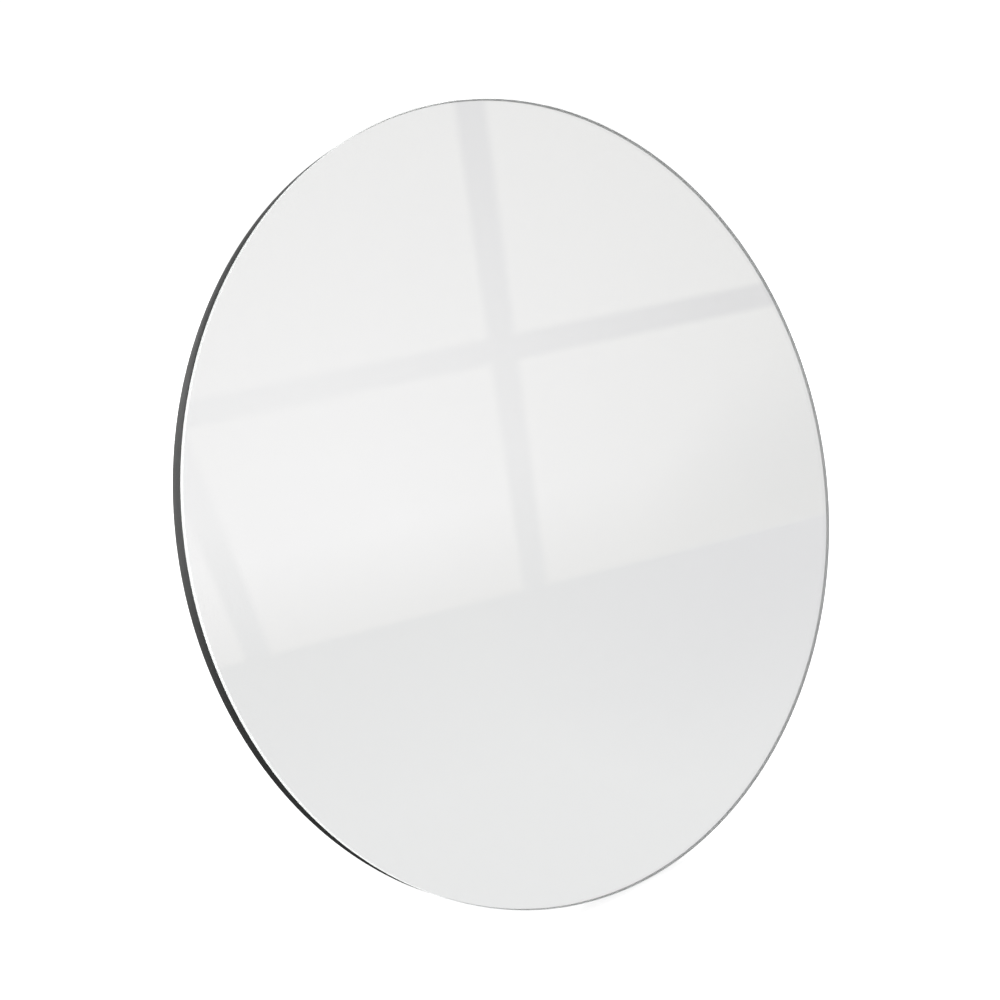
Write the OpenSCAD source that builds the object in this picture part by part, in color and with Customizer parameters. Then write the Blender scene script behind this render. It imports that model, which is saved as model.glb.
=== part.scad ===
// Frameless round countertop mirror on a folding easel leg.
// Frame: +Z up, the counter is Z = 0, the mirror faces -Y, +X is to its right.
// The origin is the centre of the footprint's bounding box, on the counter.
// All lengths are in millimetres and all angles in degrees.

/* [Mirror] */
// Diameter of the glass and of the backboard
mirror_d = 300; // [290:5:310]
// Thickness of the float glass
glass_t = 1.8; // [1.6:0.1:3]
// Width of the ground arris on both edges of the glass
arris = 0.3; // [0.2:0.1:0.5]
// Thickness of the lacquered backboard
board_t = 7.0; // [5.5:0.5:8]
// Radius of the backboard's rear edge
board_round = 1.2; // [0.8:0.1:2]
// Backward lean of the mirror from upright
lean = 18; // [17:0.5:20]

/* [Coatings] */
// Thickness of the silver layer
silver_t = 0.05; // [0.03:0.01:0.1]
// Thickness of the protective paint on the silver
paint_t = 0.05; // [0.03:0.01:0.1]
// Thickness of the adhesive film between the paint and the backboard
adhesive_t = 0.1; // [0.1:0.05:0.3]
// Distance that the adhesive film stays back from the rim
adhesive_setback = 4; // [2:1:10]

/* [Hinge] */
// Height of the hinge axis above the disc's centre, along the backboard
hinge_up = 80; // [75:1:85]
// Distance of the hinge axis from the backboard's rear face
axis_off = 7; // [7:0.1:8]
// Sheet thickness of the hinge bracket
plate_t = 1.5; // [1:0.1:2]
// Diameter of the hinge pin
pin_d = 4; // [3.5:0.1:4.5]
// Thickness of the nylon washers beside the leg
washer_t = 0.8; // [0.5:0.1:0.8]
// Thickness of the rubber pad that stops the open leg
stop_t = 0.8; // [0.5:0.1:1]

/* [Leg] */
// Angle of the open leg from upright
leg_angle = 10; // [8:0.5:11]
// Sheet thickness of the pressed leg
sheet_t = 1.5; // [1.2:0.1:1.8]
// Half width of the leg at the hinge
leg_top_w = 20; // [18:1:22]
// Half width of the leg at the toes
leg_toe_w = 48; // [44:1:49]
// Thickness of the rubber sole under the toes
sole_t = 3; // [2.5:0.5:4]

/* [Hidden] */

$fn = 96;
cut = 1;                // how far a cutting shape runs past the face it cuts
slip = 0.05;            // clearance between fitted parts
mirror_r = mirror_d / 2;
front_t = glass_t + silver_t + paint_t + adhesive_t;  // everything in front of the backboard
total_t = front_t + board_t;

// Height of the glass face's centre: the backboard's rounded rear edge clears the counter.
rim_gap = 0.6;
face_z = rim_gap + (mirror_r - board_round) * cos(lean)
       + (total_t - board_round) * sin(lean) + board_round;

// Hinge axis, in a frame whose origin is the face centre's foot on the counter.
axis_y = hinge_up * sin(lean) + (total_t + axis_off) * cos(lean);
axis_z = face_z + hinge_up * cos(lean) - (total_t + axis_off) * sin(lean);
fold = lean + leg_angle;  // angle between the open leg and the backboard

// Pressed leg, in its own frame: the hinge axis is X, the leg runs to -Y and the
// backboard is on the +Z side when the leg is folded.
web_z = -4.5;             // outer face of the leg's web
press_r = 2.6;            // outer radius of the press edge between web and flange
leg_head = 8;             // the leg's upper end above the axis
neck_y = -12;             // where the leg starts to flare
head_r = 5;               // corner radius at the head
toe_r = 8;                // corner radius at the toes
lug_r = 5;                // radius of the lugs that hold the pin
flange_z = (axis_off - plate_t - stop_t - slip - leg_head * sin(fold)) / cos(fold);
leg_len = (axis_z - sole_t - flange_z * sin(leg_angle)) / cos(leg_angle);

// Window and arch of the leg
window_top = -62;
window_bottom = -160;
window_top_w = 11;
window_bottom_w = 22;
window_r = 6;
arch_r = 26;
arch_drop = 6;            // the arch's centre below the toes

// Hinge bracket
bracket_w = 64;
bracket_h = 30;
bracket_r = 4;
ear_in = leg_top_w + washer_t + 0.2;
ear_r = 6;
ear_half = 8;
lance_len = 11;           // each ear is lanced out of the plate and leaves this window
screw_x = 27.3;
screw_y = 9.5;

// Hinge pin and its clip
pin_head_t = 1.5;
pin_head_r = pin_d / 2 + 1.5;
pin_tail = 3;             // how far the pin runs past the far ear
pin_bevel = 0.4;
groove_t = 0.8;
groove_r = pin_d / 2 - 0.5;
clip_x = ear_in + plate_t + 0.1;

// Screws
screw_len = 6;
screw_r = 1.4;
head_r_flat = 2.75;
head_h = 1.35;
pan_r = 2.8;
pan_h = 1.8;
recess_w = 0.8;

// Rubber parts
shoe_in = 23.5;           // inner side of a shoe
shoe_out = leg_toe_w + 2.6;
shoe_up = 10;             // a shoe's height above the toe's end
shoe_front = flange_z + 2.4;
shoe_back = -web_z + 2.5;
shoe_r = 2;
foot_w = 30;
foot_depth = 9;
foot_top = -mirror_r + 14;
foot_screw_x = 8;
foot_screw_y = foot_top - 5;
foot_bore = 5;            // depth of the counterbore in the front foot
buffer_r = 4;
buffer_leg_y = -150;      // where the folded leg's flange meets the buffers
buffer_x = leg_top_w + (leg_toe_w - leg_top_w) * (neck_y - buffer_leg_y) / (neck_y + leg_len)
         - sheet_t / 2;

// The footprint runs from the glass face's lowest front edge to the back of the shoes.
front_y = -(mirror_r - arris) * sin(lean);
rear_y = axis_y + (axis_z + shoe_back * sin(leg_angle)) * tan(leg_angle)
       + shoe_back * cos(leg_angle);
shift_y = -(front_y + rear_y) / 2;

// ---- frames -------------------------------------------------------------

// The disc's frame: origin at the glass face's centre, +Y up the disc, +Z towards the viewer.
module on_mirror() translate([0, shift_y, face_z]) rotate([90 - lean, 0, 0]) children();

// The hinge's frame, parallel to the disc's.
module on_hinge() on_mirror() translate([0, hinge_up, -total_t - axis_off]) children();

// The open leg's frame.
module on_leg()
    translate([0, shift_y + axis_y, axis_z]) rotate([90 + leg_angle, 0, 0]) children();

// The space below the counter.
module below_counter() translate([0, 0, -100]) cube([800, 800, 200], center = true);

// ---- shared shapes ------------------------------------------------------

// Flat plate with round corners, centred on the origin, standing on Z = 0.
module round_plate(w, h, r, t) {
    linear_extrude(t) union() {
        square([w - 2 * r, h], center = true);
        square([w, h - 2 * r], center = true);
        for (x = [-1, 1], y = [-1, 1])
            translate([x * (w / 2 - r), y * (h / 2 - r)]) circle(r);
    }
}

// Cross recess in a screw head at Z = 0, cut towards +Z.
module cross_recess(size, depth) {
    for (turn = [0, 90])
        rotate([0, 0, turn]) translate([-size / 2, -recess_w / 2, -cut])
            cube([size, recess_w, depth + cut]);
}

// Threaded shank that points along +Z and ends in a cone.
module shank(from, to) {
    translate([0, 0, from]) cylinder(h = to - from - 1.2, r = screw_r);
    translate([0, 0, to - 1.2]) cylinder(h = 1.2, r1 = screw_r, r2 = 0.3);
}

// Countersunk screw with its head's face at Z = 0.
module flat_screw() {
    difference() {
        union() {
            cylinder(h = head_h, r1 = head_r_flat, r2 = screw_r);
            shank(head_h, screw_len);
        }
        cross_recess(3.4, 0.9);
    }
}

// Pan-head screw with the head's underside at Z = 0.
module pan_screw(length) {
    difference() {
        union() {
            translate([0, 0, -pan_h]) cylinder(h = pan_h * 0.45, r1 = pan_r - 0.9, r2 = pan_r);
            translate([0, 0, -pan_h * 0.55]) cylinder(h = pan_h * 0.55, r = pan_r);
            shank(0, length);
        }
        translate([0, 0, -pan_h]) cross_recess(3.2, 1);
    }
}

// Solid block with rounded edges that fills the box between two corners.
module soft_block(low, high, r) {
    hull() for (x = [low.x + r, high.x - r], y = [low.y + r, high.y - r],
                z = [low.z + r, high.z - r])
        translate([x, y, z]) sphere(r, $fn = 24);
}

// ---- mirror -------------------------------------------------------------

module mirror_glass() color([0.86, 0.93, 0.9, 0.4]) on_mirror()
    rotate_extrude() polygon([
        [0, -glass_t], [mirror_r - arris, -glass_t], [mirror_r, arris - glass_t],
        [mirror_r, -arris], [mirror_r - arris, 0], [0, 0]
    ]);

// A thin layer behind the glass, from depth a to depth b.
module layer(r, a, b) on_mirror() translate([0, 0, -b]) cylinder(h = b - a, r = r);

module silver_coat() color("silver")
    layer(mirror_r - arris, glass_t, glass_t + silver_t);

module protective_paint() color([0.25, 0.26, 0.27])
    layer(mirror_r - arris, glass_t + silver_t, glass_t + silver_t + paint_t);

module adhesive_film() color([0.85, 0.84, 0.78])
    layer(mirror_r - adhesive_setback, front_t - adhesive_t, front_t);

// Half section of the backboard, with an eased front edge and a round rear edge.
module board_section() {
    ease = 0.25;
    polygon([
        [0, -total_t], [mirror_r - board_round, -total_t],
        [mirror_r - board_round, board_round - total_t], [mirror_r, board_round - total_t],
        [mirror_r, -front_t - ease], [mirror_r - ease, -front_t], [0, -front_t]
    ]);
    translate([mirror_r - board_round, board_round - total_t]) circle(board_round);
}

module backboard() color([0.06, 0.06, 0.065]) on_mirror() difference() {
    rotate_extrude() board_section();
    for (x = [-1, 1], y = [-1, 1])
        translate([x * screw_x, hinge_up + y * screw_y, -total_t - cut])
            cylinder(h = cut + screw_len - plate_t, r = screw_r + slip);
    for (x = [-1, 1])
        translate([x * foot_screw_x, foot_screw_y, -total_t - cut])
            cylinder(h = cut + board_t - 1.5, r = screw_r + slip);
}

// ---- hinge --------------------------------------------------------------

// One ear, lanced out of the plate and bent back, with its pin hole on the axis.
module bracket_ear() {
    rise = axis_off - plate_t;
    translate([ear_in, 0, 0]) rotate([90, 0, 90]) linear_extrude(plate_t) difference() {
        union() {
            polygon([[-ear_half, rise + plate_t], [ear_half, rise + plate_t],
                     [ear_half, rise - 0.5], [ear_r, 0], [-ear_r, 0], [-ear_half, rise - 0.5]]);
            circle(ear_r);
        }
        circle(pin_d / 2 + slip);
    }
}

module hinge_bracket() color([0.62, 0.63, 0.65]) on_hinge() {
    difference() {
        translate([0, 0, axis_off - plate_t])
            round_plate(bracket_w, bracket_h, bracket_r, plate_t);
        for (side = [-1, 1])
            translate([side * (ear_in - lance_len / 2), 0, axis_off])
                cube([lance_len, 2 * ear_half, 4 * plate_t], center = true);
        for (x = [-1, 1], y = [-1, 1])
            translate([x * screw_x, y * screw_y, axis_off - plate_t]) {
                translate([0, 0, -slip])
                    cylinder(h = head_h, r1 = head_r_flat + slip, r2 = screw_r + slip);
                cylinder(h = plate_t + cut, r = screw_r + slip);
            }
    }
    for (side = [0, 1]) mirror([side, 0, 0]) bracket_ear();
}

module bracket_screws() color([0.78, 0.78, 0.76]) on_hinge()
    for (x = [-1, 1], y = [-1, 1])
        translate([x * screw_x, y * screw_y, axis_off - plate_t]) flat_screw();

module stop_pad() color([0.1, 0.1, 0.1]) on_hinge()
    translate([0, leg_head - 1.5, axis_off - plate_t - stop_t]) round_plate(16, 7, 1.5, stop_t);

module hinge_pin() color([0.72, 0.73, 0.75]) on_hinge() rotate([0, 90, 0]) difference() {
    union() {
        translate([0, 0, -ear_in - plate_t])
            cylinder(h = 2 * (ear_in + plate_t) + pin_tail - pin_bevel, r = pin_d / 2);
        translate([0, 0, ear_in + plate_t + pin_tail - pin_bevel])
            cylinder(h = pin_bevel, r1 = pin_d / 2, r2 = pin_d / 2 - pin_bevel);
        translate([0, 0, -ear_in - plate_t - pin_head_t])
            cylinder(h = pin_head_t / 3, r1 = pin_head_r - pin_head_t / 3, r2 = pin_head_r);
        translate([0, 0, -ear_in - plate_t - pin_head_t * 2 / 3])
            cylinder(h = pin_head_t * 2 / 3, r = pin_head_r);
    }
    translate([0, 0, clip_x]) difference() {
        cylinder(h = groove_t, r = pin_d);
        translate([0, 0, -cut]) cylinder(h = groove_t + 2 * cut, r = groove_r);
    }
}

module hinge_washer(side) color([0.93, 0.92, 0.88]) on_hinge()
    translate([side * (leg_top_w + 0.1 + washer_t / 2), 0, 0]) rotate([0, 90, 0])
        difference() {
            cylinder(h = washer_t, r = pin_d / 2 + 2.5, center = true);
            cylinder(h = washer_t + 2 * cut, r = pin_d / 2 + slip, center = true);
        }

module pin_clip() color([0.3, 0.3, 0.32]) on_hinge()
    translate([clip_x + slip, 0, 0]) rotate([0, 90, 0]) linear_extrude(groove_t - 2 * slip)
        difference() {
            circle(groove_r + 2);
            circle(groove_r + slip / 2);
            translate([0, -groove_r]) square([2 * pin_d, 2 * groove_r]);
            for (turn = [130, 230])
                rotate([0, 0, turn]) translate([groove_r + 0.5, 0]) circle(0.55);
        }

// ---- leg ----------------------------------------------------------------

// Disc with a pressed edge at its base, one corner of the leg's form. An inset form is
// taller, so that it cuts past the flange's edge.
module puck(r, inset) {
    edge = press_r - inset;
    wall = flange_z - web_z + 2 * abs(inset);
    rotate_extrude($fn = 40) union() {
        square([r - inset - edge, wall]);
        translate([0, edge]) square([r - inset, wall - edge]);
        translate([r - inset - edge, edge]) intersection() {
            circle(edge, $fn = 32);
            translate([0, -edge]) square(edge);
        }
    }
}

// The leg's form: a parallel head and a flared shin. A positive inset makes the inside of
// the sheet, and a negative one a form with clearance round the leg.
module leg_head_form(inset) translate([0, 0, web_z + inset]) hull()
    for (x = [-1, 1], y = [leg_head - head_r, neck_y])
        translate([x * (leg_top_w - head_r), y, 0]) puck(head_r, inset);

module leg_shin_form(inset) translate([0, 0, web_z + inset]) hull() for (x = [-1, 1]) {
    translate([x * (leg_top_w - head_r), neck_y, 0]) puck(head_r, inset);
    translate([x * (leg_toe_w - toe_r), toe_r - leg_len, 0]) puck(toe_r, inset);
}

module easel_leg() color([0.09, 0.09, 0.1]) on_leg() difference() {
    union() {
        difference() {
            union() {
                leg_head_form(0);
                leg_shin_form(0);
            }
            leg_head_form(sheet_t);
            leg_shin_form(sheet_t);
        }
        for (side = [-1, 1])
            translate([side * (leg_top_w - sheet_t / 2), 0, 0]) rotate([0, 90, 0])
                cylinder(h = sheet_t, r = lug_r, center = true);
    }
    rotate([0, 90, 0])
        cylinder(h = 2 * leg_top_w + 2 * cut, r = pin_d / 2 + slip, center = true);
    translate([0, 0, web_z - cut]) linear_extrude(sheet_t + 2 * cut) hull()
        for (x = [-1, 1]) {
            translate([x * (window_top_w - window_r), window_top - window_r])
                circle(window_r, $fn = 48);
            translate([x * (window_bottom_w - window_r), window_bottom + window_r])
                circle(window_r, $fn = 48);
        }
    translate([0, -leg_len - arch_drop, web_z - cut])
        cylinder(h = flange_z - web_z + 3 * cut, r = arch_r);
}

// Rubber shoe on one toe, cut level where it stands on the counter.
module leg_shoe(side) color([0.12, 0.12, 0.12]) difference() {
    on_leg() mirror([side < 0 ? 1 : 0, 0, 0]) soft_block(
        [shoe_in, -leg_len - sole_t - 4, -shoe_back],
        [shoe_out, -leg_len + shoe_up, shoe_front], shoe_r);
    on_leg() leg_shin_form(-slip);
    below_counter();
}

// ---- rest ---------------------------------------------------------------

// Rubber block behind the disc's lowest point. It carries the disc.
module front_foot() color([0.12, 0.12, 0.12]) difference() {
    on_mirror() intersection() {
        soft_block([-foot_w / 2, -mirror_r - 6, -total_t - foot_depth],
                   [foot_w / 2, foot_top, -total_t + foot_depth], 2.5);
        translate([-foot_w, -mirror_r - 20, -total_t - 2 * foot_depth])
            cube([2 * foot_w, 60, 2 * foot_depth]);
    }
    on_mirror() for (x = [-1, 1])
        translate([x * foot_screw_x, foot_screw_y, -total_t - foot_depth]) {
            translate([0, 0, -cut]) cylinder(h = foot_bore + cut, r = pan_r + 0.3);
            cylinder(h = foot_depth + cut, r = screw_r + slip);
        }
    below_counter();
}

module front_foot_screws() color([0.78, 0.78, 0.76]) on_mirror()
    for (x = [-1, 1])
        translate([x * foot_screw_x, foot_screw_y, -total_t - foot_depth + foot_bore])
            pan_screw(foot_depth - foot_bore + board_t - 1.6);

// Rubber buffer that the folded leg's flange rests on.
module leg_buffer(side) color([0.12, 0.12, 0.12]) on_mirror() {
    rise = axis_off - flange_z - slip;
    translate([side * buffer_x, hinge_up + buffer_leg_y, -total_t - rise]) {
        cylinder(h = 0.8, r1 = buffer_r - 0.8, r2 = buffer_r);
        translate([0, 0, 0.8]) cylinder(h = rise - 0.8, r = buffer_r);
    }
}

mirror_glass();
silver_coat();
protective_paint();
adhesive_film();
backboard();
hinge_bracket();
bracket_screws();
stop_pad();
hinge_pin();
hinge_washer(-1);  // hinge_washer_left
hinge_washer(1);  // hinge_washer_right
pin_clip();
easel_leg();
leg_shoe(-1);  // leg_shoe_left
leg_shoe(1);  // leg_shoe_right
front_foot();
front_foot_screws();
leg_buffer(-1);  // leg_buffer_left
leg_buffer(1);  // leg_buffer_right
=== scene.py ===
"""Countertop mirror: the looks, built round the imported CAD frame.

+Z is up, the counter is Z = 0 and the mirror faces -Y. All lengths are in metres.
"""

import math

import bmesh
import bpy
from mathutils import Euler, Matrix, Vector


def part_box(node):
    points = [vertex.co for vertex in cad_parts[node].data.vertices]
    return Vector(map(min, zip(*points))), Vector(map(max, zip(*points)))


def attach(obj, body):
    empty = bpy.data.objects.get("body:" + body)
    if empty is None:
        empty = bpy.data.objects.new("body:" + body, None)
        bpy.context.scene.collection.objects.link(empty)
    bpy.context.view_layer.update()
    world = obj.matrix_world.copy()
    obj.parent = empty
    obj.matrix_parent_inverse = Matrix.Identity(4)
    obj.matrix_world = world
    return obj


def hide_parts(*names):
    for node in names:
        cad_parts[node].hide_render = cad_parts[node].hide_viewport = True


MM = 0.001

# ---- the design's own sizes, where a box of a CAD node doesn't give them ----
LEAN = math.radians(18.0)
DISC_RADIUS = 150 * MM
GLASS_THICK = 1.8 * MM
COATS_THICK = 0.2 * MM
SILVER_THICK = 0.05 * MM
SILVER_GAP = 0.002 * MM
BOARD_THICK = 7.0 * MM
GLASS_ARRIS = 0.3 * MM
BOARD_EASE = 0.25 * MM
BOARD_ROUND = 1.2 * MM

# ---- how fine the meshes are, and the rows of the board's round edge that are rubbed ----
RIM_STEPS = 288
ROUND_STEPS = 8
EASE_STEPS = 4
SHARP_ANGLE = math.radians(35)
RUBBED_ROWS = range(2, 7)

# ---- camera: where the photographer stood, seen from the mirror's face. Lens, sensor in mm ----
CAMERA_DISTANCE = 0.450
CAMERA_AZIMUTH = math.radians(-41.24)
CAMERA_ELEVATION = math.radians(16.84)
CAMERA_PAN = math.radians(3.43)
CAMERA_TILT = math.radians(0.21)
CAMERA_LENS = 43.1
CAMERA_SENSOR = 36
CAMERA_NEAR = 0.01

# ---- tones of the materials: dark and light where there are two, and those of their marks ----
GLASS_IOR = 1.52
GLASS_TINT = (0.992, 0.998, 0.995)
GROUND_TONES = ((0.93, 0.96, 0.945), (0.985, 0.995, 0.99))
SILVER_TINT = (0.965, 0.965, 0.955)
LACQUER_TONES = ((0.012, 0.013, 0.0125), (0.020, 0.021, 0.020))
LACQUER_RUBBED = (0.050, 0.048, 0.045)
LACQUER_DUST = (0.13, 0.13, 0.125)
POWDER_TONES = ((0.020, 0.020, 0.021), (0.034, 0.034, 0.035))
POWDER_FLECK = (0.062, 0.063, 0.065)
POWDER_EDGE_WEAR_AND_HIGHLIGHT = (0.21, 0.21, 0.215)
RUBBER_TONES = ((0.010, 0.010, 0.010), (0.030, 0.030, 0.029))
RUBBER_SCUFFED = (0.075, 0.074, 0.071)
ZINC_TONES = ((0.40, 0.41, 0.44), (0.56, 0.57, 0.60))
NICKEL_TONES = ((0.74, 0.69, 0.59), (0.86, 0.81, 0.71))
STEEL_TONES = ((0.50, 0.51, 0.53), (0.66, 0.67, 0.68))
DARK_STEEL_TONES = ((0.10, 0.10, 0.11), (0.17, 0.17, 0.18))
NYLON_TONES = ((0.74, 0.71, 0.63), (0.82, 0.80, 0.73))
PAINT_TONES = ((0.035, 0.038, 0.040), (0.050, 0.053, 0.055))
ADHESIVE_TONES = ((0.62, 0.60, 0.52), (0.72, 0.70, 0.62))

# ---- edge wear (on the powder coat also a painted highlight) and painted shade in recesses: the ----
# ---- rays that look for them, how far a softened normal has turned where wear starts and is full,
# ----
# ---- how open a place is where painted shade is full and where it ends, and the shares of ----
# ---- a metal's dark tone in a stain and in the painted shade ----
WEAR_SAMPLES = 6
WEAR_TURN = (0.99, 0.88)
PAINTED_SHADE_SAMPLES = 8
PAINTED_SHADE_OPENNESS = (0.35, 0.9)
STAIN_SHARE = 0.72
PAINTED_SHADE_SHARE = 0.12

# ---- the studio: its tone from straight down (0) to straight up (1) ----
WORLD_TONES = (
    (0.0, 0.02), (0.15, 0.03), (0.27, 0.30), (0.35, 0.70),
    (0.46, 1.05), (0.70, 1.05), (0.80, 0.40), (1.0, 0.40),
)

# ---- soft lights: where each is, where it aims, its side and its watts ----
LIGHTS = {
    "top_light": ((0.5, -0.3, 1.6), (0, 0, 0.1), 1.0, 8),
    "left_light": ((-1.6, 0.5, 0.35), (0, 0, 0.15), 0.8, 14),
    "back_light": ((0.9, 1.3, 1.1), (0, 0, 0.15), 0.6, 30),
}

# ---- the floor, and the floor behind the object as reflections show it: its tone near the object, a painted shadow, and far off ----
FLOOR_HALF = 60.0
FLOOR_TONE = 0.48
FLOOR_GLOW = 0.80
BOUNCE_TONES = (0.03, 0.72)
BOUNCE_REACH = (0.05, 0.45)
BOUNCE_CORNERS = ((-4, 0.03, -0.001), (4, 0.03, -0.001), (4, 6, -0.001), (-4, 6, -0.001))

# ---- the grey flag high behind the object ----
FLAG_TONE = 0.30
FLAG_CORNERS = ((-2.5, 1.5, 0.4), (2.5, 1.5, 0.4), (2.5, 1.5, 1.8), (-2.5, 1.5, 1.8))

# ---- the window that the mirror reflects. In its own plane, X is across and Y is up ----
WINDOW_DISTANCE = 1.5
WINDOW_TURN = Euler((math.radians(43.8), math.radians(5.2), math.radians(22.5)))
WINDOW_BAR = 0.042
WINDOW_FOOT = -0.19
WINDOW_RAILS = (WINDOW_FOOT - 0.015, 0.263, 0.80)
# An upright is its place at height 0, and how far it leans to the left for each metre up.
WINDOW_UPRIGHTS = ((-0.95, 0.049), (-0.446, 0.114), (0.039, 0.049), (0.95, 0.049))
WALL_CORNERS = ((-3, -3, 0), (3, -3, 0), (3, 1.6, 0), (-3, 1.6, 0))
PANE_FORWARD = -0.005
PANE_FADE = 0.012

# ---- its tones. A spot is where a part is brightest or dimmest, and its reach is the two ----
# ---- distances between which that fades away. Tops and heights are on the plane's Y ----
PANE_BRIGHT = (0.952, 0.940, 0.955)
PANE_DIM = (0.835, 0.826, 0.830)
PANE_CORNER = (0.790, 0.785, 0.795)
PANE_BRIGHT_SPOT = (-0.35, -0.05)
PANE_BRIGHT_REACH = (0.2, 1.1)
PANE_CORNER_SPOT = (0.62, -0.2)
PANE_CORNER_REACH = (0.05, 0.4)
PANE_FOOT_TOP = 0.0
PANE_FOOT_SHARE = 0.7
BAR_BRIGHT = (0.920, 0.910, 0.926)
BAR_DIM = (0.781, 0.773, 0.790)
BAR_BRIGHT_SPOT = (-0.35, 0.0)
BAR_BRIGHT_REACH = (0.2, 0.8)
BAR_FOOT_TOP = 0.08
WALL_BRIGHT = (0.856, 0.852, 0.864)
WALL_MIDDLE = (0.826, 0.822, 0.834)
WALL_DIM = (0.792, 0.786, 0.806)
WALL_DIM_SPOT = (0.55, -0.2)
WALL_DIM_REACH = (0.1, 0.6)
WALL_BRIGHT_HEIGHT = -0.6
WALL_MIDDLE_HEIGHT = -0.2
FOOT_BLUR = 0.006

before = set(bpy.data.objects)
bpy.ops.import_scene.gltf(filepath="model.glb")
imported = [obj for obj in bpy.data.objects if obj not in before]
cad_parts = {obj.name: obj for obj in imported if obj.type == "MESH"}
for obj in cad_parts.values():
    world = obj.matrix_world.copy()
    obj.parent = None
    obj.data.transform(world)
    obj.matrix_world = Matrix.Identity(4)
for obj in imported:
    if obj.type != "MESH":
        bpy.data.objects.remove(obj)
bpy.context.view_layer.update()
scene = bpy.context.scene
glass_low, glass_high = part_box("mirror_glass")

FACE_NORMAL = Vector((0, -math.cos(LEAN), math.sin(LEAN)))
FACE_CENTRE = (glass_low + glass_high) / 2 + FACE_NORMAL * GLASS_THICK / 2
DISC_FRAME = Matrix.Translation(FACE_CENTRE) @ Matrix.Rotation(math.pi / 2 - LEAN, 4, "X")


# ---- node helpers -------------------------------------------------------


def new_material(name, kind="ShaderNodeBsdfPrincipled"):
    """A node material with its tree cleared, and its one shader."""
    mat = bpy.data.materials.new(name)
    mat.use_nodes = True
    tree = mat.node_tree
    tree.nodes.clear()
    shader = tree.nodes.new(kind)
    output = tree.nodes.new("ShaderNodeOutputMaterial")
    tree.links.new(shader.outputs[0], output.inputs["Surface"])
    return mat, tree, shader


def object_coords(tree, scale=(1, 1, 1), turn=(0, 0, 0)):
    """Object coordinates in metres, stretched by scale and turned."""
    coords = tree.nodes.new("ShaderNodeTexCoord")
    mapping = tree.nodes.new("ShaderNodeMapping")
    mapping.inputs["Scale"].default_value = scale
    mapping.inputs["Rotation"].default_value = turn
    tree.links.new(coords.outputs["Object"], mapping.inputs["Vector"])
    return mapping.outputs["Vector"]


def part_of(tree, vector, axis):
    """The X, Y or Z of a vector."""
    node = tree.nodes.new("ShaderNodeSeparateXYZ")
    tree.links.new(vector, node.inputs["Vector"])
    return node.outputs[axis]


def noise(tree, vector, scale, detail=3.0, roughness=0.5):
    """The value output of a noise texture."""
    node = tree.nodes.new("ShaderNodeTexNoise")
    node.inputs["Scale"].default_value = scale
    node.inputs["Detail"].default_value = detail
    node.inputs["Roughness"].default_value = roughness
    tree.links.new(vector, node.inputs["Vector"])
    return node.outputs["Fac"]


def remap(tree, value, low, high, out_low, out_high):
    """value, mapped linearly from low..high to out_low..out_high and clamped."""
    node = tree.nodes.new("ShaderNodeMapRange")
    tree.links.new(value, node.inputs["Value"])
    node.inputs["From Min"].default_value = low
    node.inputs["From Max"].default_value = high
    node.inputs["To Min"].default_value = out_low
    node.inputs["To Max"].default_value = out_high
    return node.outputs["Result"]


def blend_colours(tree, factor, first, second):
    """first where factor is 0 and second where it is 1. Each is an RGB tuple or a socket."""
    node = tree.nodes.new("ShaderNodeMix")
    node.data_type = "RGBA"
    tree.links.new(factor, node.inputs[0])
    for socket, colour in ((node.inputs[6], first), (node.inputs[7], second)):
        if isinstance(colour, tuple):
            socket.default_value = (*colour, 1)
        else:
            tree.links.new(colour, socket)
    return node.outputs[2]


def toned(tree, value, low, high, tones):
    """The first tone where value is at most low, and the second where it is at least high."""
    return blend_colours(tree, remap(tree, value, low, high, 0, 1), *tones)


def product(tree, first, second):
    """Two values multiplied."""
    node = tree.nodes.new("ShaderNodeMath")
    node.operation = "MULTIPLY"
    tree.links.new(first, node.inputs[0])
    tree.links.new(second, node.inputs[1])
    return node.outputs["Value"]


def worn_edges(tree, vector, radius):
    """Near 1 in patches along the sharp edges and 0 on the faces."""
    bevel = tree.nodes.new("ShaderNodeBevel")
    bevel.samples = WEAR_SAMPLES
    bevel.inputs["Radius"].default_value = radius
    surface = tree.nodes.new("ShaderNodeNewGeometry")
    dot = tree.nodes.new("ShaderNodeVectorMath")
    dot.operation = "DOT_PRODUCT"
    tree.links.new(bevel.outputs["Normal"], dot.inputs[0])
    tree.links.new(surface.outputs["Normal"], dot.inputs[1])
    edge = remap(tree, dot.outputs["Value"], *WEAR_TURN, 0.0, 1.0)
    chips = noise(tree, vector, scale=180, detail=4, roughness=0.65)
    return product(tree, edge, remap(tree, chips, 0.38, 0.58, 0.25, 1.0))


def crevices(tree, reach):
    """1 on open faces, falling to 0 in recesses narrower than reach metres: the mask of the painted
    shade in recesses.
    """
    node = tree.nodes.new("ShaderNodeAmbientOcclusion")
    node.samples = PAINTED_SHADE_SAMPLES
    node.inputs["Distance"].default_value = reach
    return remap(tree, node.outputs["AO"], *PAINTED_SHADE_OPENNESS, 0.0, 1.0)


def bump(tree, shader, height, depth):
    """Feeds a bump of height x depth metres into the shader's normal."""
    node = tree.nodes.new("ShaderNodeBump")
    node.inputs["Strength"].default_value = 1.0
    node.inputs["Distance"].default_value = depth
    tree.links.new(height, node.inputs["Height"])
    tree.links.new(node.outputs["Normal"], shader.inputs["Normal"])


def dimmed(colour, share):
    """A share of a colour."""
    return tuple(channel * share for channel in colour)


# ---- materials of the object --------------------------------------------


def polished_glass():
    """Clear float glass with the faint green of its iron."""
    mat, _, shader = new_material("polished_glass")
    shader.inputs["Base Color"].default_value = (*GLASS_TINT, 1)
    shader.inputs["Roughness"].default_value = 0.0
    shader.inputs["IOR"].default_value = GLASS_IOR
    shader.inputs["Transmission Weight"].default_value = 1.0
    return mat


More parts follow.
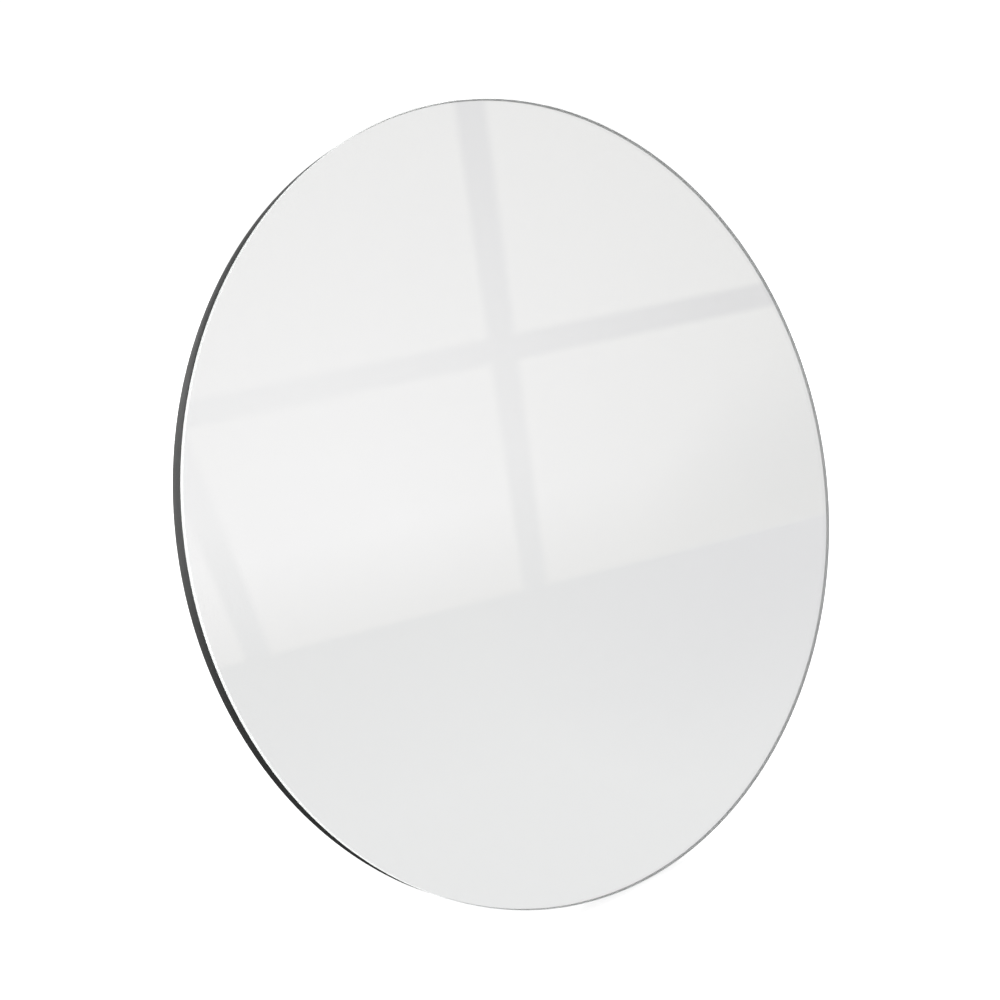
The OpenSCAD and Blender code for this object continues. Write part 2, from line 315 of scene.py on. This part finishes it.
def ground_glass():
    """The ground edge: pale, frosted and a little green."""
    mat, tree, shader = new_material("ground_glass")
    grit = noise(tree, object_coords(tree), scale=2200, detail=2)
    tree.links.new(toned(tree, grit, 0.3, 0.7, GROUND_TONES), shader.inputs["Base Color"])
    tree.links.new(remap(tree, grit, 0.3, 0.7, 0.35, 0.55), shader.inputs["Roughness"])
    shader.inputs["IOR"].default_value = GLASS_IOR
    shader.inputs["Transmission Weight"].default_value = 0.25
    bump(tree, shader, grit, depth=0.00002)
    return mat


def silver():
    """The silver behind the glass."""
    mat, _, shader = new_material("silver")
    shader.inputs["Base Color"].default_value = (*SILVER_TINT, 1)
    shader.inputs["Metallic"].default_value = 1.0
    shader.inputs["Roughness"].default_value = 0.0
    return mat


def black_lacquer():
    """Satin black lacquer: a fine orange peel, wipe marks, light dust and a rubbed rear edge."""
    mat, tree, shader = new_material("black_lacquer")
    coords = object_coords(tree)
    streaks = object_coords(tree, scale=(14, 90, 90), turn=(0, 0.35, 0))
    peel = noise(tree, coords, scale=420, detail=2)
    cloud = noise(tree, coords, scale=24, detail=4)
    wipes = noise(tree, streaks, scale=1.0, detail=3)
    dust = noise(tree, coords, scale=1500, detail=2)
    chips = noise(tree, coords, scale=90, detail=4, roughness=0.6)
    rub = tree.nodes.new("ShaderNodeAttribute")
    rub.attribute_name = "rub"
    worn = product(tree, rub.outputs["Fac"], remap(tree, chips, 0.40, 0.62, 0.0, 0.8))
    specks = remap(tree, dust, 0.66, 0.74, 0, 0.45)
    tone = toned(tree, cloud, 0.35, 0.7, LACQUER_TONES)
    tone = blend_colours(tree, worn, tone, LACQUER_RUBBED)
    tone = blend_colours(tree, specks, tone, LACQUER_DUST)
    tree.links.new(tone, shader.inputs["Base Color"])
    tree.links.new(remap(tree, wipes, 0.3, 0.7, 0.31, 0.43), shader.inputs["Roughness"])
    shader.inputs["IOR"].default_value = 1.5
    bump(tree, shader, peel, depth=0.00006)
    return mat


def powder_coat():
    """Fine-textured black powder coat, lighter along the steel's edges: partly rubbed to the primer,
    partly a painted highlight.
    """
    mat, tree, shader = new_material("powder_coat")
    coords = object_coords(tree)
    grain = noise(tree, coords, scale=800, detail=3, roughness=0.6)
    cloud = noise(tree, coords, scale=30, detail=3)
    flecks = remap(tree, noise(tree, coords, scale=1300, detail=2), 0.54, 0.70, 0, 0.5)
    worn = worn_edges(tree, coords, radius=0.0009)
    tone = toned(tree, cloud, 0.3, 0.7, POWDER_TONES)
    tone = blend_colours(tree, flecks, tone, POWDER_FLECK)
    # wear and painted highlight: the edges turn light grey, partly rubbed through, partly standing in
    # for light caught along them
    tone = blend_colours(tree, worn, tone, POWDER_EDGE_WEAR_AND_HIGHLIGHT)
    tree.links.new(tone, shader.inputs["Base Color"])
    tree.links.new(remap(tree, grain, 0.3, 0.7, 0.36, 0.58), shader.inputs["Roughness"])
    bump(tree, shader, grain, depth=0.00022)
    return mat


def rubber():
    """Moulded black rubber: stippled, with a dull bloom and scuffed edges."""
    mat, tree, shader = new_material("rubber")
    coords = object_coords(tree)
    grain = noise(tree, coords, scale=1000, detail=3, roughness=0.6)
    bloom = noise(tree, coords, scale=70, detail=4, roughness=0.6)
    worn = worn_edges(tree, coords, radius=0.0007)
    tone = toned(tree, bloom, 0.40, 0.72, RUBBER_TONES)
    tone = blend_colours(tree, worn, tone, RUBBER_SCUFFED)
    tree.links.new(tone, shader.inputs["Base Color"])
    tree.links.new(remap(tree, bloom, 0.3, 0.7, 0.58, 0.80), shader.inputs["Roughness"])
    bump(tree, shader, grain, depth=0.00025)
    return mat


def brushed_metal(name, tones, roughness, stretch):
    """Metal with drawn marks and stains, with painted shade darkening its recesses.

    roughness is its lowest and highest, and stretch is the marks' scale on X, Y and Z.
    """
    mat, tree, shader = new_material(name)
    marks = noise(tree, object_coords(tree, stretch), scale=1.0, detail=4, roughness=0.65)
    stain = noise(tree, object_coords(tree), scale=110, detail=3)
    tone = toned(tree, marks, 0.3, 0.7, tones)
    shade = remap(tree, stain, 0.35, 0.75, 0, 0.35)
    tone = blend_colours(tree, shade, tone, dimmed(tones[0], STAIN_SHARE))
    # painted shade: recesses are darkened almost to black, standing in for the shade that falls in
    # them
    tone = blend_colours(tree, crevices(tree, reach=0.0012), dimmed(tones[0], PAINTED_SHADE_SHARE), tone)
    tree.links.new(tone, shader.inputs["Base Color"])
    shader.inputs["Metallic"].default_value = 1.0
    tree.links.new(remap(tree, marks, 0.25, 0.75, *roughness), shader.inputs["Roughness"])
    bump(tree, shader, marks, depth=0.00002)
    return mat


def nylon():
    """Natural nylon washers."""
    mat, tree, shader = new_material("nylon")
    cloud = noise(tree, object_coords(tree), scale=160, detail=3)
    tree.links.new(toned(tree, cloud, 0.3, 0.7, NYLON_TONES), shader.inputs["Base Color"])
    tree.links.new(remap(tree, cloud, 0.3, 0.7, 0.36, 0.48), shader.inputs["Roughness"])
    shader.inputs["Subsurface Weight"].default_value = 0.1
    shader.inputs["Subsurface Scale"].default_value = 0.001
    return mat


def backing_paint():
    """Grey protective paint on the silver."""
    mat, tree, shader = new_material("backing_paint")
    cloud = noise(tree, object_coords(tree), scale=90, detail=4)
    tree.links.new(toned(tree, cloud, 0.3, 0.7, PAINT_TONES), shader.inputs["Base Color"])
    shader.inputs["Roughness"].default_value = 0.6
    return mat


def adhesive():
    """Milky adhesive film."""
    mat, tree, shader = new_material("adhesive")
    cloud = noise(tree, object_coords(tree), scale=120, detail=3)
    tree.links.new(toned(tree, cloud, 0.3, 0.7, ADHESIVE_TONES), shader.inputs["Base Color"])
    shader.inputs["Roughness"].default_value = 0.5
    return mat


# ---- mesh helpers -------------------------------------------------------


def mesh_piece(name, bm, materials):
    """An object from a bmesh, smooth but for its sharp edges."""
    mesh = bpy.data.meshes.new(name)
    bmesh.ops.recalc_face_normals(bm, faces=bm.faces)
    bm.to_mesh(mesh)
    bm.free()
    for mat in materials:
        mesh.materials.append(mat)
    mesh.shade_smooth()
    mesh.set_sharp_from_angle(angle=SHARP_ANGLE)
    piece = bpy.data.objects.new(name, mesh)
    scene.collection.objects.link(piece)
    return piece


def panel(name, corners, mat):
    """A flat piece with one face."""
    bm = bmesh.new()
    bm.faces.new([bm.verts.new(corner) for corner in corners])
    return mesh_piece(name, bm, [mat])


def turned(section, edge_rows=()):
    """A bmesh revolved about Z from (radius, height) points, closed by flat discs at both ends.

    The section starts and ends with its discs' rims. Rows listed in edge_rows take the
    second material.
    """
    bm = bmesh.new()
    rings = []
    for radius, height in section:
        ring = []
        for i in range(RIM_STEPS):
            turn = 2 * math.pi * i / RIM_STEPS
            ring.append(bm.verts.new((radius * math.cos(turn), radius * math.sin(turn), height)))
        rings.append(ring)
    for row, (low, high) in enumerate(zip(rings, rings[1:])):
        for i in range(RIM_STEPS):
            j = (i + 1) % RIM_STEPS
            face = bm.faces.new((low[i], low[j], high[j], high[i]))
            face.material_index = 1 if row in edge_rows else 0
    bm.faces.new(rings[0][::-1])
    bm.faces.new(rings[-1])
    return bm


def corner_arc(radius, centre, start, end, steps):
    """Points of an arc about centre, from start to end degrees."""
    points = []
    for i in range(steps + 1):
        turn = math.radians(start + (end - start) * i / steps)
        points.append((centre[0] + radius * math.cos(turn), centre[1] + radius * math.sin(turn)))
    return points


def disc_piece(name, node, bm, materials):
    """A turned piece that stands for a CAD node of the disc and rides with it."""
    bm.transform(DISC_FRAME)
    piece = mesh_piece(name, bm, materials)
    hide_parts(node)
    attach(piece, "mirror")
    return piece


# ---- the disc. Height 0 is the glass's front face -----------------------


def build_glass():
    """Glass disc with polished faces and a ground edge."""
    face_radius = DISC_RADIUS - GLASS_ARRIS
    section = [
        (face_radius, -GLASS_THICK),
        (DISC_RADIUS, GLASS_ARRIS - GLASS_THICK),
        (DISC_RADIUS, -GLASS_ARRIS),
        (face_radius, 0),
    ]
    bm = turned(section, edge_rows=(0, 1, 2))
    disc_piece("glass_disc", "mirror_glass", bm, [polished_glass(), ground_glass()])


def build_silver():
    """The reflecting layer, a hair behind the glass."""
    radius = DISC_RADIUS - GLASS_ARRIS
    section = [(radius, -GLASS_THICK - SILVER_THICK), (radius, -GLASS_THICK - SILVER_GAP)]
    disc_piece("silver_layer", "silver_coat", turned(section), [silver()])


def build_board():
    """Backboard with an eased front edge and a round rear edge."""
    front = -GLASS_THICK - COATS_THICK
    back = front - BOARD_THICK
    round_centre = (DISC_RADIUS - BOARD_ROUND, back + BOARD_ROUND)
    ease_centre = (DISC_RADIUS - BOARD_EASE, front - BOARD_EASE)
    rear = corner_arc(BOARD_ROUND, round_centre, -90, 0, ROUND_STEPS)
    ease = corner_arc(BOARD_EASE, ease_centre, 0, 90, EASE_STEPS)
    board = disc_piece("lacquered_board", "backboard", turned(rear + ease), [black_lacquer()])
    rub = board.data.attributes.new("rub", "FLOAT", "POINT")
    for i, item in enumerate(rub.data):
        item.value = 1.0 if i // RIM_STEPS in RUBBED_ROWS else 0.0


def finish_cad_nodes():
    """Gives every CAD node that stays its material."""
    zinc = brushed_metal("zinc_plate", ZINC_TONES, (0.24, 0.42), (900, 60, 60))
    nickel = brushed_metal("nickel_plate", NICKEL_TONES, (0.16, 0.30), (500, 500, 500))
    steel = brushed_metal("turned_steel", STEEL_TONES, (0.16, 0.30), (2400, 90, 90))
    dark_steel = brushed_metal("dark_steel", DARK_STEEL_TONES, (0.28, 0.45), (300, 300, 300))
    soft = rubber()
    washer = nylon()
    looks = {
        "protective_paint": backing_paint(),
        "adhesive_film": adhesive(),
        "hinge_bracket": zinc,
        "bracket_screws": nickel,
        "stop_pad": soft,
        "hinge_pin": steel,
        "hinge_washer_left": washer,
        "hinge_washer_right": washer,
        "pin_clip": dark_steel,
        "easel_leg": powder_coat(),
        "leg_shoe_left": soft,
        "leg_shoe_right": soft,
        "front_foot": soft,
        "front_foot_screws": nickel,
        "leg_buffer_left": soft,
        "leg_buffer_right": soft,
    }
    for name, mat in looks.items():
        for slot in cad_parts[name].material_slots:
            slot.material = mat


# ---- stage --------------------------------------------------------------


def only_in_reflections(piece):
    """Marks a stage piece that only reflections and rays through glass can see."""
    piece.visible_camera = False
    piece.visible_diffuse = False
    piece.visible_shadow = False
    piece.visible_transmission = True


def upright_point(upright, inset, up):
    """A point at a height of an upright, inset across from its centre line."""
    across, slant = upright
    return Vector((across + inset - up * slant, up, PANE_FORWARD))


def distance_from(tree, coords, spot, reach):
    """0 near a spot of the window's plane, rising to 1 over its reach."""
    node = tree.nodes.new("ShaderNodeVectorMath")
    node.operation = "DISTANCE"
    tree.links.new(coords, node.inputs[0])
    node.inputs[1].default_value = (*spot, 0)
    return remap(tree, node.outputs["Value"], *reach, 0.0, 1.0)


def wall_tone(tree, coords):
    """Colour of the wall and of the bars.

    The bars dim away from their bright spot and turn to the wall's tone at the window's foot.
    The wall is brightest low down, and dimmest at a spot just under the window.
    """
    height = part_of(tree, coords, "Y")
    away = distance_from(tree, coords, BAR_BRIGHT_SPOT, BAR_BRIGHT_REACH)
    bars = blend_colours(tree, away, BAR_BRIGHT, BAR_DIM)
    foot = remap(tree, height, WINDOW_FOOT, BAR_FOOT_TOP, 1.0, 0.0)
    bars = blend_colours(tree, foot, bars, WALL_MIDDLE)
    wall = toned(tree, height, WALL_BRIGHT_HEIGHT, WALL_MIDDLE_HEIGHT, (WALL_BRIGHT, WALL_MIDDLE))
    corner = distance_from(tree, coords, WALL_DIM_SPOT, WALL_DIM_REACH)
    wall = blend_colours(tree, corner, WALL_DIM, wall)
    return toned(tree, height, WINDOW_FOOT - FOOT_BLUR, WINDOW_FOOT + FOOT_BLUR, (wall, bars))


def wall_glow():
    """Glowing wall material."""
    mat, tree, glow = new_material("wall_glow", "ShaderNodeEmission")
    tree.links.new(wall_tone(tree, object_coords(tree)), glow.inputs["Color"])
    return mat


def pane_glow():
    """Glowing pane material, brightest low on the left.

    It dims towards the window's foot and its right corner, and fades into the bars at its edge.
    """
    mat, tree, glow = new_material("pane_glow", "ShaderNodeEmission")
    coords = object_coords(tree)
    away = distance_from(tree, coords, PANE_BRIGHT_SPOT, PANE_BRIGHT_REACH)
    inner = blend_colours(tree, away, PANE_BRIGHT, PANE_DIM)
    corner = distance_from(tree, coords, PANE_CORNER_SPOT, PANE_CORNER_REACH)
    inner = blend_colours(tree, corner, PANE_CORNER, inner)
    height = part_of(tree, coords, "Y")
    foot = remap(tree, height, WINDOW_FOOT, PANE_FOOT_TOP, PANE_FOOT_SHARE, 0.0)
    inner = blend_colours(tree, foot, inner, PANE_DIM)
    edge = tree.nodes.new("ShaderNodeAttribute")
    edge.attribute_name = "glow"
    colour = blend_colours(tree, edge.outputs["Fac"], wall_tone(tree, coords), inner)
    tree.links.new(colour, glow.inputs["Color"])
    return mat


def build_pane(name, uprights, rails, mat):
    """One glowing pane, a little in front of the wall, whose light fades over its outermost strip."""
    left, right = uprights
    edge = (WINDOW_BAR - PANE_FADE) / 2
    inner = edge + PANE_FADE
    across = [(left, edge), (left, inner), (right, -inner), (right, -edge)]
    heights = [rails[0] + edge, rails[0] + inner, rails[1] - inner, rails[1] - edge]
    bm = bmesh.new()
    grid = [[bm.verts.new(upright_point(*place, up)) for place in across] for up in heights]
    for low, high in zip(grid, grid[1:]):
        for col in range(len(across) - 1):
            bm.faces.new((low[col], low[col + 1], high[col + 1], high[col]))
    pane = mesh_piece(name, bm, [mat])
    glow = pane.data.attributes.new("glow", "FLOAT", "POINT")
    inner_lines = (1, 2)
    for i, item in enumerate(glow.data):
        row, col = divmod(i, len(across))
        item.value = 1.0 if row in inner_lines and col in inner_lines else 0.0
    return pane


def reflected_ray(camera):
    """Where the camera's axis meets the mirror, and the direction in which it leaves."""
    axis = camera.matrix_world.to_quaternion() @ Vector((0, 0, -1))
    reach = (FACE_CENTRE - camera.location).dot(FACE_NORMAL) / axis.dot(FACE_NORMAL)
    return camera.location + axis * reach, axis - 2 * axis.dot(FACE_NORMAL) * FACE_NORMAL


def build_window(camera):
    """A glowing window in a pale wall, where the mirror shows it to the camera."""
    start, outgoing = reflected_ray(camera)
    place = Matrix.Translation(start + outgoing * WINDOW_DISTANCE) @ WINDOW_TURN.to_matrix().to_4x4()
    pieces = [panel("stage_wall", WALL_CORNERS, wall_glow())]
    glow = pane_glow()
    for col, uprights in enumerate(zip(WINDOW_UPRIGHTS, WINDOW_UPRIGHTS[1:])):
        for row, rails in enumerate(zip(WINDOW_RAILS, WINDOW_RAILS[1:])):
            pieces.append(build_pane(f"stage_pane_{col}_{row}", uprights, rails, glow))
    for piece in pieces:
        piece.matrix_world = place
        only_in_reflections(piece)


def build_floor():
    """A wide pale floor under the object, which the mirror and the back don't reflect."""
    bm = bmesh.new()
    bmesh.ops.create_grid(bm, x_segments=1, y_segments=1, size=FLOOR_HALF)
    mat, _, shader = new_material("stage_floor")
    shader.inputs["Base Color"].default_value = (FLOOR_TONE, FLOOR_TONE, FLOOR_TONE, 1)
    shader.inputs["Roughness"].default_value = 0.9
    shader.inputs["Specular IOR Level"].default_value = 0.0
    shader.inputs["Emission Color"].default_value = (1, 1, 1, 1)
    shader.inputs["Emission Strength"].default_value = FLOOR_GLOW
    floor = mesh_piece("stage_floor", bm, [mat])
    floor.visible_glossy = False
    floor.visible_transmission = False


def build_bounce():
    """The floor behind the object as its glossy parts see it: darker close to the object, a painted
    shadow of the object.
    """
    mat, tree, glow = new_material("floor_glow", "ShaderNodeEmission")
    near, far = BOUNCE_TONES
    behind = part_of(tree, object_coords(tree), "Y")
    # painted shadow: the glow dims near the object, where the object's shadow would fall on the floor
    tone = toned(tree, behind, *BOUNCE_REACH, ((near, near, near), (far, far, far)))
    tree.links.new(tone, glow.inputs["Color"])
    only_in_reflections(panel("stage_bounce", BOUNCE_CORNERS, mat))


def build_flag():
    """A grey flag that keeps the upper side of the rim dark in its reflections."""
    mat, _, glow = new_material("flag_grey", "ShaderNodeEmission")
    glow.inputs["Color"].default_value = (FLAG_TONE, FLAG_TONE, FLAG_TONE, 1)
    only_in_reflections(panel("stage_flag", FLAG_CORNERS, mat))


def build_world():
    """White all round and up to 24 degrees high, softer overhead and dark below."""
    world = bpy.data.worlds.new("studio")
    scene.world = world
    world.use_nodes = True
    tree = world.node_tree
    tree.nodes.clear()
    coords = tree.nodes.new("ShaderNodeTexCoord")
    height = remap(tree, part_of(tree, coords.outputs["Generated"], "Z"), -1, 1, 0, 1)
    ramp = tree.nodes.new("ShaderNodeValToRGB")
    tree.links.new(height, ramp.inputs["Fac"])
    stops = ramp.color_ramp.elements
    while len(stops) < len(WORLD_TONES):
        stops.new(0.5)
    for stop, (place, tone) in zip(stops, WORLD_TONES):
        stop.position = place
        stop.color = (tone, tone, tone, 1)
    back = tree.nodes.new("ShaderNodeBackground")
    tree.links.new(ramp.outputs["Color"], back.inputs["Color"])
    output = tree.nodes.new("ShaderNodeOutputWorld")
    tree.links.new(back.outputs["Background"], output.inputs["Surface"])


def build_lights():
    """Soft square lights: one above, one on the left and a stronger one behind on the right."""
    for name, (place, aim, size, power) in LIGHTS.items():
        data = bpy.data.lights.new(name, "AREA")
        data.shape = "SQUARE"
        data.size = size
        data.energy = power
        lamp = bpy.data.objects.new(name, data)
        lamp.location = place
        lamp.rotation_euler = (Vector(aim) - Vector(place)).to_track_quat("-Z", "Y").to_euler()
        scene.collection.objects.link(lamp)


def direction(azimuth, elevation):
    """Unit vector towards a camera. Azimuth 0 is a camera that looks along +Y."""
    flat = math.cos(elevation)
    return Vector((math.sin(azimuth) * flat, -math.cos(azimuth) * flat, math.sin(elevation)))


def build_camera():
    """The camera at the photograph's viewpoint."""
    data = bpy.data.cameras.new("camera")
    data.lens = CAMERA_LENS
    data.sensor_width = CAMERA_SENSOR
    data.clip_start = CAMERA_NEAR
    camera = bpy.data.objects.new("camera", data)
    camera.location = FACE_CENTRE + direction(CAMERA_AZIMUTH, CAMERA_ELEVATION) * CAMERA_DISTANCE
    axis = direction(CAMERA_AZIMUTH + CAMERA_PAN, CAMERA_ELEVATION + CAMERA_TILT)
    camera.rotation_euler = (-axis).to_track_quat("-Z", "Y").to_euler()
    scene.collection.objects.link(camera)
    scene.camera = camera
    bpy.context.view_layer.update()
    return camera


camera = build_camera()
build_glass()
build_silver()
build_board()
finish_cad_nodes()
build_window(camera)
build_floor()
build_bounce()
build_flag()
build_world()
build_lights()
scene.view_settings.view_transform = "Standard"
